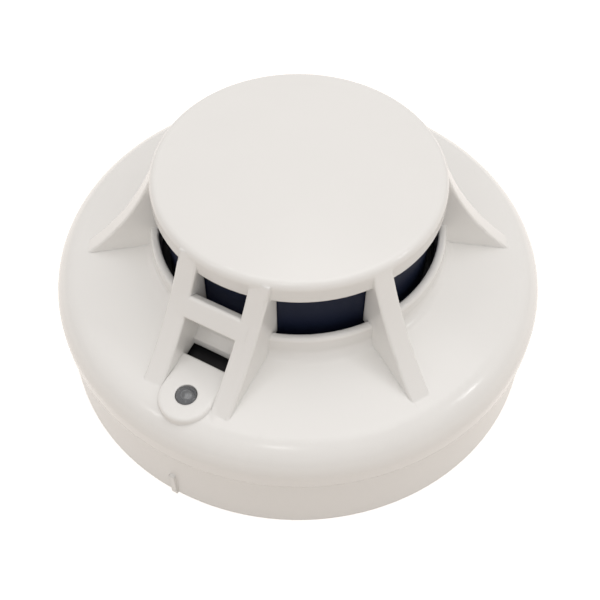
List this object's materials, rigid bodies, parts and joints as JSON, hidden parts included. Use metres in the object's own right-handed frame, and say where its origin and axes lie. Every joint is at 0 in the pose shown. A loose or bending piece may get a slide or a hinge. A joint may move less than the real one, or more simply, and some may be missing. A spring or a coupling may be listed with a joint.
{
  "type": "heat detector",
  "caption": "Round ceiling heat detector: white ribbed cover with a dark screened sensing ring and an indicator lamp, twist-locked onto a wiring base.",
  "frame": {"origin": "centre of the mounting face, midway between the two fixing slots", "axes": "+Z away from the ceiling along the twist axis, the indicator lamp towards -Y, the fixing slots on X"},
  "size_m": [0.105, 0.1053, 0.0486],
  "materials": {
    "cover_white": "gloss",
    "base_white": "gloss",
    "chassis_white": "satin",
    "screen_dark": "satin",
    "deck_black": "matt",
    "board_green": "satin",
    "lamp_grey": "gloss",
    "bead_epoxy": "gloss",
    "tinned": "satin",
    "zinc": "satin",
    "chip_black": "matt",
    "tantalum": "satin",
    "crystal_can": "satin",
    "resistor_black": "matt",
    "ceramic": "matt",
    "contact_brass": "satin"
  },
  "bodies": {
    "base": {"mounting_base": "base_white", "base_contact_1": "contact_brass", "base_contact_2": "contact_brass", "base_contact_3": "contact_brass", "base_contact_4": "contact_brass", "clamp_washers": "zinc", "terminal_screws": "zinc"},
    "head": {"outer_cover": "cover_white", "chassis": "chassis_white", "chassis_screws": "zinc", "contact_blade_1": "contact_brass", "contact_blade_2": "contact_brass", "contact_blade_3": "contact_brass", "contact_blade_4": "contact_brass", "contact_pins": "tinned", "circuit_board": "board_green", "board_screws": "zinc", "sensor_deck": "deck_black", "insect_screen": "screen_dark", "sensor_sleeve": "deck_black", "thermistor_leads": "tinned", "thermistor_bead": "bead_epoxy", "indicator_lamp": "lamp_grey", "lamp_spacer": "deck_black", "lamp_leads": "tinned", "microcontroller": "chip_black", "bridge_rectifier": "chip_black", "surge_suppressor": "chip_black", "tantalum_capacitors": "tantalum", "crystal": "crystal_can", "transistors": "chip_black", "chip_resistors": "resistor_black", "chip_capacitors": "ceramic"}
  },
  "joints": [
    {"name": "head_twist", "type": "hinge", "parent": "base", "child": "head", "pos_m": [0, 0, 0], "axis": [0, 0, 1], "range_deg": [0, 24]}
  ]
}
